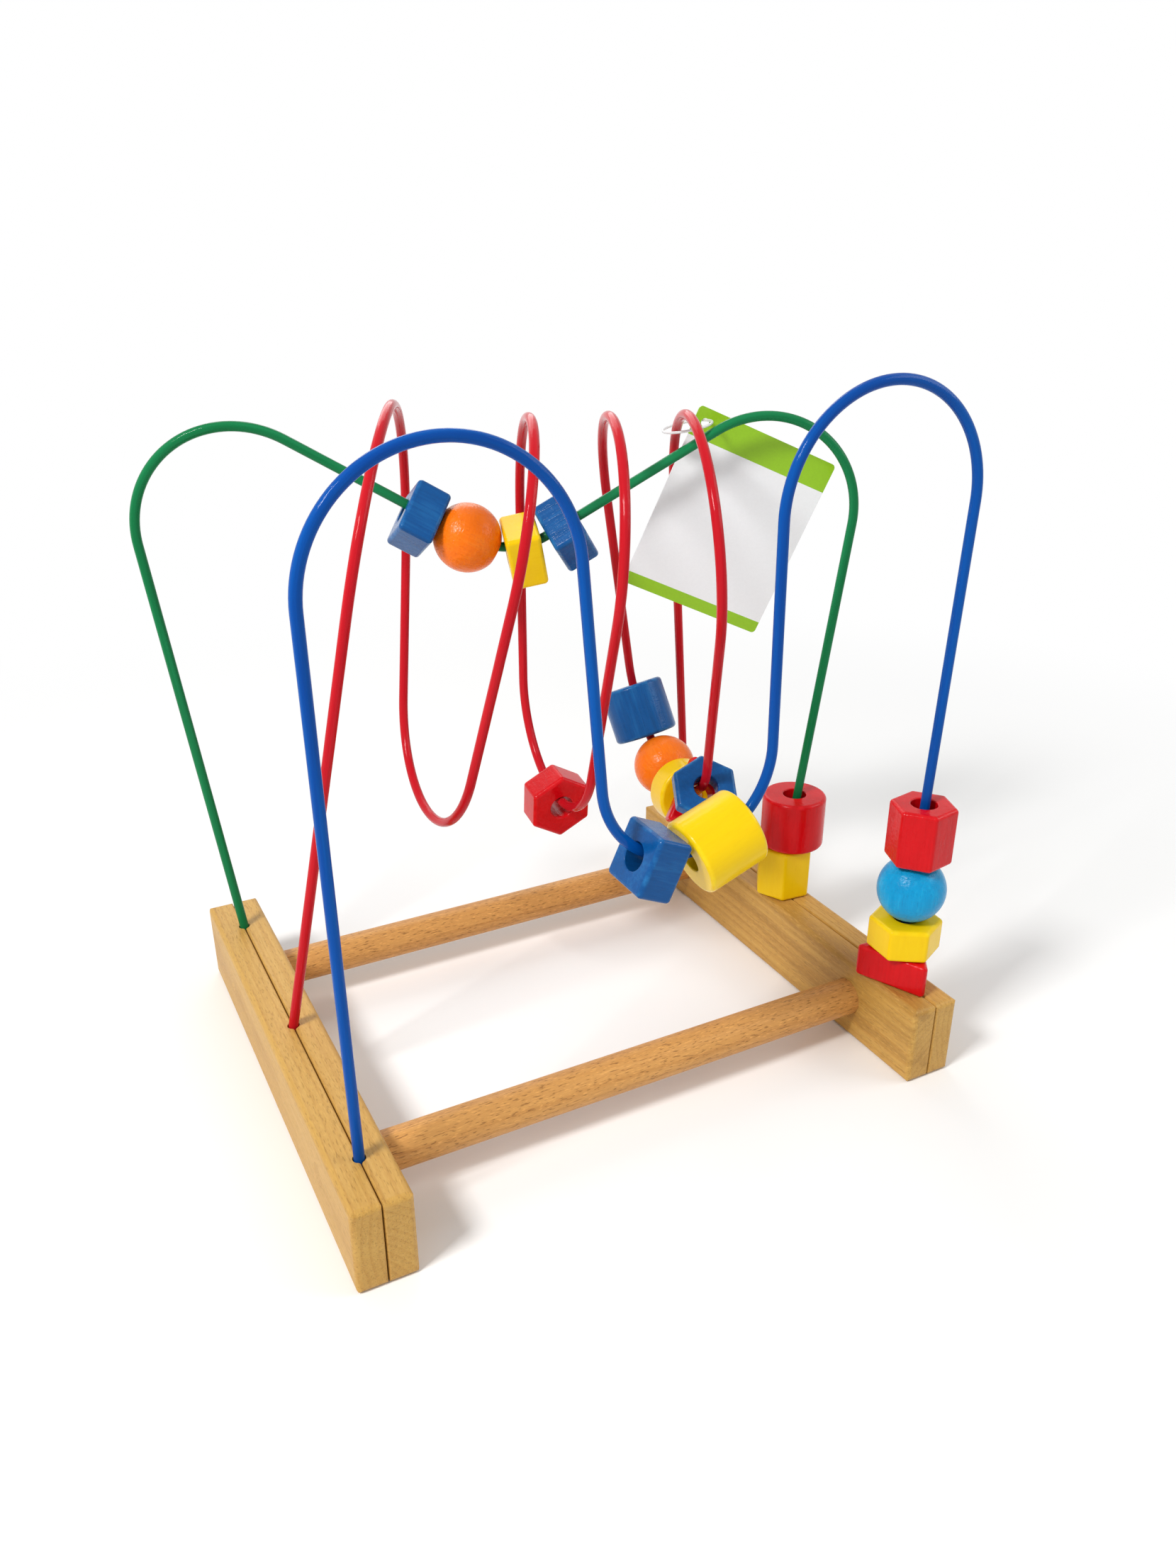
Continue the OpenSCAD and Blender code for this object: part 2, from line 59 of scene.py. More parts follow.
GREEN_OVERHANG = 33
GREEN_CORNER = 331
GREEN_ARCH = 46
GREEN_VALLEY = 229
GREEN_VALLEY_BEND = 36

BLUE_LEFT_CREST = 310
BLUE_LEFT_LEAN = -2.5
BLUE_LEFT_WIDTH = 97
BLUE_TROUGH = 138.5
BLUE_TROUGH_START = 110
BLUE_TROUGH_WIDTH = 76.5
BLUE_RIGHT_CREST = 318
BLUE_RIGHT_BACK = 4
BLUE_RIGHT_OVERHANG = 11.5

RED_LOOPS = 4
RED_FIRST_CREST = 302
RED_CREST = 296.5
RED_TROUGH = 107.5
RED_CREST_PITCH = 32
RED_TROUGH_PITCH = 67
RED_FRONT = 26
RED_FRONT_DRIFT = 24
RED_TROUGH_RUN = 82
RED_START_X = 86.5
RED_BACK_X = 19
RED_BACK_Y = 120
RED_CREST_BACK = 63
RED_CREST_STEP = 15
RED_LOW_X = 46.5
RED_LOW_Y = 90
RED_LOW_STEP = 8.5
RED_SLANT = 2.5
RED_SLANT_STEP = 4

BORE_D = 12
BEAD_EDGE = 2
BALL_D = 32
DRUM_D = 33.5
SQUARE_W = 26
HEXAGON_W = 30
PILLAR_W = 27
TRIANGLE_SIDE = 38
FLAT_H = 16.5
THIN_H = 9
TALL_H = 28.5

SEAT = 0.1
RUN_FIT = 0.3
BEAD_GAP = 0.4
SLACK = (BORE_D - WIRE_D) / 2 - RUN_FIT

UP = Vector((0, 0, 1))


# Camera, light and floor

CAMERA_PLACE = Vector((-222.7, -457.1, 366.3))
CAMERA_TURN = (65.27, 0, -27.62)
CAMERA_LENS = 27.27


def add_camera():
    data = bpy.data.cameras.new("photo_view")
    data.lens = CAMERA_LENS
    data.clip_start = 0.01
    camera = bpy.data.objects.new("photo_view", data)
    camera.location = CAMERA_PLACE * MM
    camera.rotation_euler = [math.radians(turn) for turn in CAMERA_TURN]
    bpy.context.collection.objects.link(camera)
    bpy.context.scene.camera = camera


def add_soft_light(name, place, size, power):
    """Square lamp that shines on the middle of the maze."""
    data = bpy.data.lights.new(name, "AREA")
    data.size = size
    data.energy = power
    lamp = bpy.data.objects.new(name, data)
    lamp.location = place
    aim = Vector((0, 0, 0.15)) - lamp.location
    lamp.rotation_euler = aim.to_track_quat("-Z", "Y").to_euler()
    bpy.context.collection.objects.link(lamp)


def seen_directly(tree):
    """1 for rays of the camera, reflections and see-through parts, and 0 for light."""
    path = node(tree, "ShaderNodeLightPath").outputs
    seen = maximum(tree, path["Is Camera Ray"], path["Is Glossy Ray"])
    return maximum(tree, seen, path["Is Transmission Ray"])


def add_world(fill, background):
    """Even light of strength fill, behind a background that the camera and reflections see."""
    world = bpy.data.worlds.new("studio")
    bpy.context.scene.world = world
    world.use_nodes = True
    tree = world.node_tree
    light = tree.nodes["Background"]
    light.inputs["Color"].default_value = (1, 1, 1, 1)
    level = node(tree, "ShaderNodeMix", {"Factor": seen_directly(tree), "A": fill, "B": background})
    tree.links.new(level.outputs["Result"], light.inputs["Strength"])


def add_floor(reach, colour, fade_start, fade_end):
    """White paper that takes the shadow near the object and runs into the background farther out."""
    bpy.ops.mesh.primitive_plane_add(size=2 * reach)
    floor = bpy.context.object
    floor.name = "studio_floor"
    material, tree, shader = new_finish("studio_paper", Roughness=0.9)
    place = node(tree, "ShaderNodeTexCoord").outputs["Object"]
    fibre = noise(tree, place, (900, 900, 900))
    paper = ramp(tree, fibre, [(0, [c * 0.99 for c in colour]), (1, colour)])
    tree.links.new(paper, shader.inputs["Base Color"])
    away = node(tree, "ShaderNodeVectorMath", {0: place}, operation="LENGTH").outputs["Value"]
    fade = node(
        tree, "ShaderNodeMapRange",
        {"Value": away, "From Min": fade_start, "From Max": fade_end}, interpolation_type="SMOOTHSTEP",
    ).outputs["Result"]
    white = node(tree, "ShaderNodeEmission", {"Color": (1, 1, 1, 1), "Strength": 1.0})
    share = calculate(tree, "MULTIPLY", fade, seen_directly(tree))
    mixed = node(tree, "ShaderNodeMixShader", {0: share, 1: shader.outputs[0], 2: white.outputs[0]})
    tree.links.new(mixed.outputs[0], tree.nodes["Material Output"].inputs["Surface"])
    floor.data.materials.append(material)


# Node helpers

def node(tree, kind, inputs=None, **settings):
    """Adds a node whose inputs are values or the outputs of other nodes."""
    made = tree.nodes.new(kind)
    for name, value in settings.items():
        setattr(made, name, value)
    for name, value in (inputs or {}).items():
        if isinstance(value, bpy.types.NodeSocket):
            tree.links.new(value, made.inputs[name])
        else:
            made.inputs[name].default_value = value
    return made


def calculate(tree, operation, a, b=0.0, c=0.0):
    made = node(tree, "ShaderNodeMath", {0: a, 1: b, 2: c}, operation=operation)
    return made.outputs[0]


def maximum(tree, a, b):
    return calculate(tree, "MAXIMUM", a, b)


def noise(tree, place, stretch, detail=2.0, roughness=0.5):
    """Noise with so many grains to the metre along each axis."""
    scaled = node(tree, "ShaderNodeVectorMath", {0: place, 1: stretch}, operation="MULTIPLY")
    made = node(
        tree, "ShaderNodeTexNoise",
        {"Vector": scaled.outputs[0], "Scale": 1.0, "Detail": detail, "Roughness": roughness},
    )
    return made.outputs["Fac"]


def ramp(tree, value, stops):
    """Colour, or a grey level, that follows a value through its stops."""
    made = node(tree, "ShaderNodeValToRGB", {"Fac": value})
    elements = made.color_ramp.elements
    while len(elements) < len(stops):
        elements.new(0.5)
    for element, (position, colour) in zip(elements, stops):
        grey = isinstance(colour, (int, float))
        element.position = position
        element.color = (colour, colour, colour, 1) if grey else (*colour, 1)
    return made.outputs["Color"]


def blend_colour(tree, amount, a, b):
    made = node(tree, "ShaderNodeMix", data_type="RGBA")
    for socket, value in (("Factor_Float", amount), ("A_Color", a), ("B_Color", b)):
        target = next(s for s in made.inputs if s.identifier == socket)
        if isinstance(value, bpy.types.NodeSocket):
            tree.links.new(value, target)
        else:
            target.default_value = value if socket == "Factor_Float" else (*value, 1)
    return next(s for s in made.outputs if s.identifier == "Result_Color")


def set_bump(tree, shader, height, depth, strength=1.0):
    made = node(tree, "ShaderNodeBump", {"Height": height, "Distance": depth * MM, "Strength": strength})
    tree.links.new(made.outputs["Normal"], shader.inputs["Normal"])


def new_finish(name, **levels):
    """Material with its shader's plain sockets set, as (material, node tree, shader)."""
    material = bpy.data.materials.new(name)
    material.use_nodes = True
    tree = material.node_tree
    shader = tree.nodes["Principled BSDF"]
    for socket, value in levels.items():
        shader.inputs[socket.replace("_", " ")].default_value = value
    return material, tree, shader


# Finishes

GRAIN_TURN = {"x": (0, 0, 0), "y": (0, 0, math.radians(90))}
RING = 3.2
WOBBLE = 5


def beech(name, along, heart, pale, late, flecks, streaks=0.0):
    """Lacquered beech, its grain along x or y and its rings round a heart, a point across the grain."""
    material, tree, shader = new_finish(name, Specular_IOR_Level=0.3)
    place = node(tree, "ShaderNodeTexCoord").outputs["Object"]
    offset = Vector((0, -heart[0], -heart[1])) * MM
    turned = node(
        tree, "ShaderNodeMapping",
        {"Vector": place, "Rotation": GRAIN_TURN[along], "Location": offset},
    ).outputs[0]
    drift = node(tree, "ShaderNodeTexNoise", {"Vector": turned, "Scale": 9.0, "Detail": 2.0}).outputs["Color"]
    centred = node(tree, "ShaderNodeVectorMath", {0: drift, 1: (0.5, 0.5, 0.5)}, operation="SUBTRACT")
    sway = node(
        tree, "ShaderNodeVectorMath",
        {0: centred.outputs[0], "Scale": WOBBLE * MM}, operation="SCALE",
    )
    swayed = node(tree, "ShaderNodeVectorMath", {0: turned, 1: sway.outputs[0]}, operation="ADD").outputs[0]
    across = node(tree, "ShaderNodeVectorMath", {0: swayed, 1: (0, 1, 1)}, operation="MULTIPLY").outputs[0]
    radius = node(tree, "ShaderNodeVectorMath", {0: across}, operation="LENGTH").outputs["Value"]
    year = calculate(tree, "FRACT", calculate(tree, "DIVIDE", radius, RING * MM))
    ring = ramp(tree, year, [(0, 0.0), (0.5, 0.2), (0.86, 1.0), (1, 0.0)])
    fibre = noise(tree, swayed, (28, 800, 800), detail=4, roughness=0.6)
    tone = noise(tree, swayed, (5, 60, 60), detail=2)
    figure = calculate(tree, "MULTIPLY_ADD", ring, 0.17, calculate(tree, "MULTIPLY", fibre, 0.46))
    figure = calculate(tree, "MULTIPLY_ADD", tone, 0.42, figure)
    middle = [(a + b) / 2 for a, b in zip(pale, late)]
    wood = ramp(tree, figure, [(0.25, pale), (0.55, middle), (0.85, late)])
    band = ramp(tree, noise(tree, swayed, (5, 130, 130), detail=3), [(0.48, 0.0), (0.64, 1.0)])
    wood = blend_colour(tree, calculate(tree, "MULTIPLY", band, streaks), wood, [c * 0.72 for c in late])

    grain = noise(tree, swayed, (300, 1700, 1700), detail=1)
    dark_fleck = ramp(tree, grain, [(0.60, 0.0), (0.70, 1.0)])
    pale_fleck = ramp(tree, grain, [(0.30, 1.0), (0.40, 0.0)])
    wood = blend_colour(tree, calculate(tree, "MULTIPLY", dark_fleck, flecks), wood, [c * 0.55 for c in late])
    wood = blend_colour(tree, calculate(tree, "MULTIPLY", pale_fleck, flecks), wood, [c * 1.15 for c in pale])
    tree.links.new(wood, shader.inputs["Base Color"])
    tree.links.new(calculate(tree, "MULTIPLY_ADD", fibre, 0.22, 0.34), shader.inputs["Roughness"])
    set_bump(tree, shader, calculate(tree, "MULTIPLY_ADD", dark_fleck, -0.7, fibre), 0.10)
    return material


def stain(name, deep, full, worn, show, lumps):
    """Stained and lacquered wood: the grain along the bore shows by a share, and lumps are in millimetres."""
    material, tree, shader = new_finish(name, Specular_IOR_Level=0.18)
    place = node(tree, "ShaderNodeAttribute", attribute_name="grain_place").outputs["Vector"]
    edge = node(tree, "ShaderNodeAttribute", attribute_name="edge").outputs["Fac"]
    fibre = noise(tree, place, (650, 650, 40), detail=4, roughness=0.65)
    cloud = noise(tree, place, (90, 90, 40), detail=2)
    pore = ramp(tree, noise(tree, place, (1500, 1500, 160), detail=1), [(0.60, 0.0), (0.70, 1.0)])
    mixed = calculate(tree, "MULTIPLY_ADD", cloud, 0.5, calculate(tree, "MULTIPLY", fibre, 0.5))
    body = ramp(tree, mixed, [(0.30, deep), (0.52, full), (0.78, worn)])
    body = blend_colour(tree, show, full, body)
    body = blend_colour(tree, calculate(tree, "MULTIPLY", pore, 0.5 * show), body, deep)
    rub = ramp(tree, noise(tree, place, (260, 260, 260), detail=3), [(0.42, 0.0), (0.66, 1.0)])
    rubbed = calculate(tree, "MULTIPLY", calculate(tree, "MULTIPLY", edge, rub), 0.6)
    tree.links.new(blend_colour(tree, rubbed, body, worn), shader.inputs["Base Color"])
    tree.links.new(calculate(tree, "MULTIPLY_ADD", fibre, 0.2, 0.1), shader.inputs["Roughness"])
    lump = noise(tree, place, (420, 420, 800), detail=2)
    height = calculate(tree, "MULTIPLY_ADD", pore, -0.3, calculate(tree, "MULTIPLY_ADD", fibre, 0.5, lump))
    set_bump(tree, shader, height, lumps)
    return material


def coat(name, colour, light):
    """Glossy plastic coat on wire, with faint lengthwise creases that follow it."""
    material, tree, shader = new_finish(name, Specular_IOR_Level=0.1, Roughness=0.1)
    along = node(tree, "ShaderNodeAttribute", attribute_name="along").outputs["Fac"]
    around = node(tree, "ShaderNodeAttribute", attribute_name="around").outputs["Fac"]
    turn = calculate(tree, "MULTIPLY", around, 2 * math.pi)
    place = node(
        tree, "ShaderNodeCombineXYZ",
        {"X": along, "Y": calculate(tree, "COSINE", turn), "Z": calculate(tree, "SINE", turn)},
    ).outputs[0]
    crease = noise(tree, place, (55, 2.2, 2.2), detail=3)
    shade = noise(tree, place, (12, 0.7, 0.7), detail=2)
    tree.links.new(ramp(tree, shade, [(0.35, colour), (0.70, light)]), shader.inputs["Base Color"])
    set_bump(tree, shader, crease, 0.35, 0.6)
    return material


TAG_HEIGHT = 90
TAG_HOLE_DOWN = 6.5
TAG_LEAN = math.radians(-23.5)
BAND_TOP = 14
BAND_FOOT = 6


def card(name, hole, level, white, band):
    """White laminated card that hangs by a hole, in an upright plane along level, with two plain bands."""
    material, tree, shader = new_finish(name, Specular_IOR_Level=0.4)
    across = level * math.cos(TAG_LEAN) + UP * math.sin(TAG_LEAN)
    front = level.cross(UP)
    turn = Matrix((across, front.cross(across), front))
    place = node(
        tree, "ShaderNodeMapping",
        {
            "Vector": node(tree, "ShaderNodeTexCoord").outputs["Object"],
            "Rotation": turn.to_euler(),
            "Location": turn @ -hole,
        },
    ).outputs[0]
    height = node(tree, "ShaderNodeSeparateXYZ", {"Vector": place}).outputs["Y"]
    top = calculate(tree, "GREATER_THAN", height, (TAG_HOLE_DOWN - BAND_TOP) * MM)
    foot = calculate(tree, "LESS_THAN", height, (TAG_HOLE_DOWN - TAG_HEIGHT + BAND_FOOT) * MM)
    fibre = noise(tree, place, (1200, 1200, 1200), detail=3)
    paper = ramp(tree, fibre, [(0.3, [c * 0.97 for c in white]), (0.7, white)])
    ink = ramp(tree, fibre, [(0.3, [c * 0.93 for c in band]), (0.7, band)])
    tree.links.new(blend_colour(tree, maximum(tree, top, foot), paper, ink), shader.inputs["Base Color"])
    tree.links.new(calculate(tree, "MULTIPLY_ADD", fibre, 0.1, 0.28), shader.inputs["Roughness"])
    set_bump(tree, shader, noise(tree, place, (45, 45, 45), detail=1), 0.5, 0.5)
    return material


def nylon(name):
    material, tree, shader = new_finish(name, Roughness=0.35, Transmission_Weight=0.35, IOR=1.53)
    place = node(tree, "ShaderNodeTexCoord").outputs["Object"]
    haze = noise(tree, place, (400, 400, 400), detail=2)
    milk = ramp(tree, haze, [(0.3, (0.84, 0.85, 0.86)), (0.7, (0.93, 0.93, 0.92))])
    tree.links.new(milk, shader.inputs["Base Color"])
    return material


def plated_steel(name):
    material, tree, shader = new_finish(name, Metallic=1.0)
    place = node(tree, "ShaderNodeTexCoord").outputs["Object"]
    swirl = noise(tree, place, (900, 300, 300), detail=3)
    zinc = ramp(tree, swirl, [(0.3, (0.62, 0.62, 0.58)), (0.7, (0.74, 0.74, 0.70))])
    tree.links.new(zinc, shader.inputs["Base Color"])
    tree.links.new(calculate(tree, "MULTIPLY_ADD", swirl, 0.2, 0.22), shader.inputs["Roughness"])
    return material


# Runs of wire: straights between corners, each corner rounded to its own radius

def turn_at(points, i):
    return (points[i] - points[i - 1]).angle(points[i + 1] - points[i])


def cut_at(points, radii, i):
    """Length that the bend at corner i takes from each side."""
    return radii[i] * math.tan(turn_at(points, i) / 2)


def fill_radius(points, i):
    """Radius with which the bends at corners i and i + 1 meet in the middle of their side."""
    tangents = math.tan(turn_at(points, i) / 2) + math.tan(turn_at(points, i + 1) / 2)
    return (points[i + 1] - points[i]).length / tangents


def bend_centre(points, radii, i):
    before = (points[i] - points[i - 1]).normalized()
    after = (points[i + 1] - points[i]).normalized()
    return points[i] + (after - before).normalized() * radii[i] / math.cos(turn_at(points, i) / 2)


def bend_normal(points, i):
    return (points[i] - points[i - 1]).cross(points[i + 1] - points[i]).normalized()


BEND_STEP = math.radians(3)
STRAIGHT_STEP = 8


def run_points(points, radii):
    """Points along a run, close together on its bends and evenly spaced on its straights."""
    run = [points[0]]

    def go_straight(end):
        start = run[-1]
        steps = max(1, round((end - start).length / STRAIGHT_STEP))
        if (end - start).length > 0.01:
            run.extend(start.lerp(end, step / steps) for step in range(1, steps + 1))

    for i in range(1, len(points) - 1):
        before = (points[i] - points[i - 1]).normalized()
        go_straight(points[i] - before * cut_at(points, radii, i))
        centre = bend_centre(points, radii, i)
        steps = max(2, round(turn_at(points, i) / BEND_STEP))
        arm = run[-1] - centre
        for step in range(1, steps + 1):
            swing = Matrix.Rotation(turn_at(points, i) * step / steps, 3, bend_normal(points, i))
            run.append(centre + swing @ arm)
    go_straight(points[-1])
    return run


def green_run():
    """Two arches and a valley in one upright plane, from the back left hole to the middle right one."""
    left = Vector((-SEAM_X, HOLE_OFFSET, 0))
    right = Vector((SEAM_X, 0, 0))
    along = (right - left).normalized()
    length = (right - left).length
    points = [
        left + along * s + UP * z for s, z in (
            (0, SOCKET_FLOOR), (0, RAIL_HEIGHT), (-GREEN_OVERHANG, GREEN_CORNER),
            (length / 2, GREEN_VALLEY), (length + GREEN_OVERHANG, GREEN_CORNER),
            (length, RAIL_HEIGHT), (length, SOCKET_FLOOR),
        )
    ]
    return points, [0, FOOT_BEND, GREEN_ARCH, GREEN_VALLEY_BEND, GREEN_ARCH, FOOT_BEND, 0]


def blue_run():
    """Two arches and a trough in an upright plane at the front."""
    right = 2 * SEAM_X
    trough_end = BLUE_TROUGH_START + BLUE_TROUGH_WIDTH
    corners = [
        (0, SOCKET_FLOOR), (0, RAIL_HEIGHT),
        (BLUE_LEFT_LEAN, BLUE_LEFT_CREST), (BLUE_LEFT_LEAN + BLUE_LEFT_WIDTH, BLUE_LEFT_CREST),
        (BLUE_TROUGH_START, BLUE_TROUGH), (trough_end, BLUE_TROUGH),
        (trough_end - BLUE_RIGHT_BACK, BLUE_RIGHT_CREST), (right + BLUE_RIGHT_OVERHANG, BLUE_RIGHT_CREST),
        (right, RAIL_HEIGHT), (right, SOCKET_FLOOR),
    ]
    points = [Vector((x - SEAM_X, -HOLE_OFFSET, z)) for x, z in corners]
    bends = [fill_radius(points, i) for i in (2, 2, 4, 4, 6, 6)]
    return points, [0, FOOT_BEND, *bends, FOOT_BEND, 0]


def red_far_top(k):
    y = RED_BACK_Y if k == 0 else RED_CREST_BACK - RED_CREST_STEP * (k - 1)
    return Vector((RED_CREST_PITCH * k - RED_BACK_X, y, RED_FIRST_CREST if k == 0 else RED_CREST))


def red_far_low(k):
    return Vector((RED_TROUGH_PITCH * k - RED_LOW_X, RED_LOW_Y - RED_LOW_STEP * k, RED_TROUGH))


def red_near_low(k):
    return red_far_low(k) - Vector((RED_SLANT + RED_SLANT_STEP * k, RED_TROUGH_RUN, 0))


def red_near_top(k):
    """Front corner of crest k, in the plane of the trough before it."""
    if k == 0:
        return Vector((-RED_START_X, -RED_FRONT, RED_FIRST_CREST))
    low = red_far_low(k - 1)
    normal = (red_far_top(k - 1) - low).cross(red_near_low(k - 1) - low)
    y = -RED_FRONT - RED_FRONT_DRIFT * k
    x = low.x - (normal.y * (y - low.y) + normal.z * (RED_CREST - low.z)) / normal.x
    return Vector((x, y, RED_CREST))


def red_run():
    """Coil that fans out below: each loop rises at the front, falls at the back and swings forward."""
    points = [Vector((-SEAM_X, 0, SOCKET_FLOOR)), Vector((-SEAM_X, 0, RAIL_HEIGHT))]
    for k in range(RED_LOOPS):
        points += [red_near_top(k), red_far_top(k)]
        if k < RED_LOOPS - 1:
            points += [red_far_low(k), red_near_low(k)]
    points += [Vector((SEAM_X, HOLE_OFFSET, RAIL_HEIGHT)), Vector((SEAM_X, HOLE_OFFSET, SOCKET_FLOOR))]
    bends = []
    for i in range(2, len(points) - 3, 2):
        bends += [fill_radius(points, i)] * 2
    return points, [0, FOOT_BEND, *bends, FOOT_BEND, 0]


# Wires, swept along their runs by one Geometry Nodes tree

def wire_tree():
    """Tree that sweeps a round rod along a curve and keeps the place along and around it."""
    tree = bpy.data.node_groups.new("coated_wire", "GeometryNodeTree")
    sockets = tree.interface
    sockets.new_socket("Run", in_out="INPUT", socket_type="NodeSocketGeometry")
    sockets.new_socket("Radius", in_out="INPUT", socket_type="NodeSocketFloat")
    sockets.new_socket("Sides", in_out="INPUT", socket_type="NodeSocketInt")
    sockets.new_socket("Coat", in_out="INPUT", socket_type="NodeSocketMaterial")
    sockets.new_socket("Wire", in_out="OUTPUT", socket_type="NodeSocketGeometry")
    given = node(tree, "NodeGroupInput").outputs
    length = node(tree, "GeometryNodeSplineParameter").outputs["Length"]
    share = node(tree, "GeometryNodeSplineParameter").outputs["Factor"]
    run = node(
        tree, "GeometryNodeStoreNamedAttribute",
        {"Geometry": given["Run"], "Name": "along", "Value": length},
    )
    rim = node(
        tree, "GeometryNodeCurvePrimitiveCircle",
        {"Resolution": given["Sides"], "Radius": given["Radius"]},
    )
    section = node(
        tree, "GeometryNodeStoreNamedAttribute",
        {"Geometry": rim.outputs["Curve"], "Name": "around", "Value": share},
    )
    swept = node(
        tree, "GeometryNodeCurveToMesh",
        {"Curve": run.outputs[0], "Profile Curve": section.outputs[0], "Fill Caps": True},
    )
    smooth = node(tree, "GeometryNodeSetShadeSmooth", {"Geometry": swept.outputs[0]})
    whole = node(tree, "GeometryNodeRealizeInstances", {"Geometry": smooth.outputs[0]})
    finished = node(
        tree, "GeometryNodeSetMaterial",
        {"Geometry": whole.outputs[0], "Material": given["Coat"]},
    )
    node(tree, "NodeGroupOutput", {"Wire": finished.outputs[0]})
    return tree


WIRE_SIDES = 24


def plain_mesh(maker, name):
    """Turns an object with live modifiers into a plain mesh piece and removes the maker."""
    graph = bpy.context.evaluated_depsgraph_get()
    evaluated = maker.evaluated_get(graph)
    mesh = bpy.data.meshes.new_from_object(evaluated, preserve_all_data_layers=True, depsgraph=graph)
    mesh.name = name
    bpy.data.objects.remove(maker)
    piece = bpy.data.objects.new(name, mesh)
    bpy.context.collection.objects.link(piece)
    return piece


def make_wire(name, run, finish, tree):
    """Wire piece over the solid of the same name."""
    points = run_points(*run)
    curve = bpy.data.curves.new(name + "_run", "CURVE")
    curve.dimensions = "3D"
    spline = curve.splines.new("POLY")
    spline.points.add(len(points) - 1)
    for target, point in zip(spline.points, points):
        target.co = (*(point * MM), 1)
    maker = bpy.data.objects.new(name + "_run", curve)
    bpy.context.collection.objects.link(maker)
    sweep = maker.modifiers.new("sweep", "NODES")
    sweep.node_group = tree
    values = {"Radius": WIRE_D / 2 * MM, "Sides": WIRE_SIDES, "Coat": finish}
    for socket in tree.interface.items_tree:
        if socket.in_out == "INPUT" and socket.name in values:
            sweep[socket.identifier] = values[socket.name]
    piece = plain_mesh(maker, name + "_coated")
    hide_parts(name)
    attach(piece, "base")


# Bead shapes: rings of points lofted round the bore, centred, with the bore along Z

RING_POINTS = 72
ROUND_STEPS = 6
RIM_SOFT = 0.7


def circle_ring(radius, z, points=RING_POINTS):
    angles = [2 * math.pi * j / points for j in range(points)]
    return [Vector((radius * math.cos(a), radius * math.sin(a), z)) for a in angles]


def polygon_ring(sides, reach, round_by, z):
    """Polygon whose sides lie round_by outside a smaller one, with corners rounded by that much."""
    corner_reach = (reach - BEAD_EDGE) / math.cos(math.pi / sides)
    per_side = RING_POINTS // sides
    arc = per_side // 2
    ring = []
    for side in range(sides):
        middle = 2 * math.pi * side / sides
        corner = Vector((math.cos(middle), math.sin(middle), 0)) * corner_reach
        for step in range(arc + 1):
            angle = middle + (2 * step / arc - 1) * math.pi / sides
            ring.append(corner + Vector((math.cos(angle), math.sin(angle), 0)) * round_by)
        after = middle + 2 * math.pi / sides
        next_corner = Vector((math.cos(after), math.sin(after), 0)) * corner_reach
        angle = middle + math.pi / sides
        push = Vector((math.cos(angle), math.sin(angle), 0)) * round_by
        flat = per_side - arc - 1
        for step in range(1, flat + 1):
            ring.append(corner.lerp(next_corner, step / (flat + 1)) + push)
    shift = arc // 2
    ring = ring[shift:] + ring[:shift]
    return [Vector((p.x, p.y, z)) for p in ring]


def bore_rings(half):
    """Softened rim at the top, the bore, and the rim at the bottom."""
    radius = BORE_D / 2
    arc = [math.pi / 2 * step / 4 for step in range(5)]
    top = [(radius + RIM_SOFT * (1 - math.sin(a)), half - RIM_SOFT * (1 - math.cos(a))) for a in arc]
    rings = [circle_ring(r, z) for r, z in top]
    return rings + [circle_ring(r, -z) for r, z in reversed(top)]


def rounded_sides(half):
    """Inset from the full width and height of each ring up a side with softened edges, and its wear."""
    for sign in (-1, 1):
        steps = range(ROUND_STEPS + 1)
        for step in steps if sign > 0 else reversed(steps):
            angle = math.pi / 2 * step / ROUND_STEPS
            yield math.cos(angle), sign * (half - BEAD_EDGE * (1 - math.sin(angle))), math.sin(2 * angle)


def prism_shape(sides, reach, height):
    levels = list(rounded_sides(height / 2))
    rings = [polygon_ring(sides, reach, max(0.02, BEAD_EDGE * share), z) for share, z, wear in levels]
    return rings + bore_rings(height / 2), [wear for share, z, wear in levels]


def drum_shape(height):
    levels = list(rounded_sides(height / 2))
    rings = [circle_ring(DRUM_D / 2 - BEAD_EDGE * (1 - share), z) for share, z, wear in levels]
    return rings + bore_rings(height / 2), [wear for share, z, wear in levels]


def ball_shape():
    radius = BALL_D / 2
    limit = math.acos((BORE_D / 2 + RIM_SOFT) / radius)
    angles = [limit * (step / 24 - 1) for step in range(49)]
    rings = [circle_ring(radius * math.cos(a), radius * math.sin(a)) for a in angles]
    return rings + bore_rings(radius * math.sin(limit)), [0.0] * len(rings)


def square_shape():
    return prism_shape(4, SQUARE_W / 2, FLAT_H)


def hexagon_shape(height):
    return prism_shape(6, HEXAGON_W / 2, height)


def pillar_shape():
    return prism_shape(6, PILLAR_W / 2, TALL_H)


def triangle_shape(height):
    return prism_shape(3, TRIANGLE_SIDE / (2 * math.sqrt(3)), height)


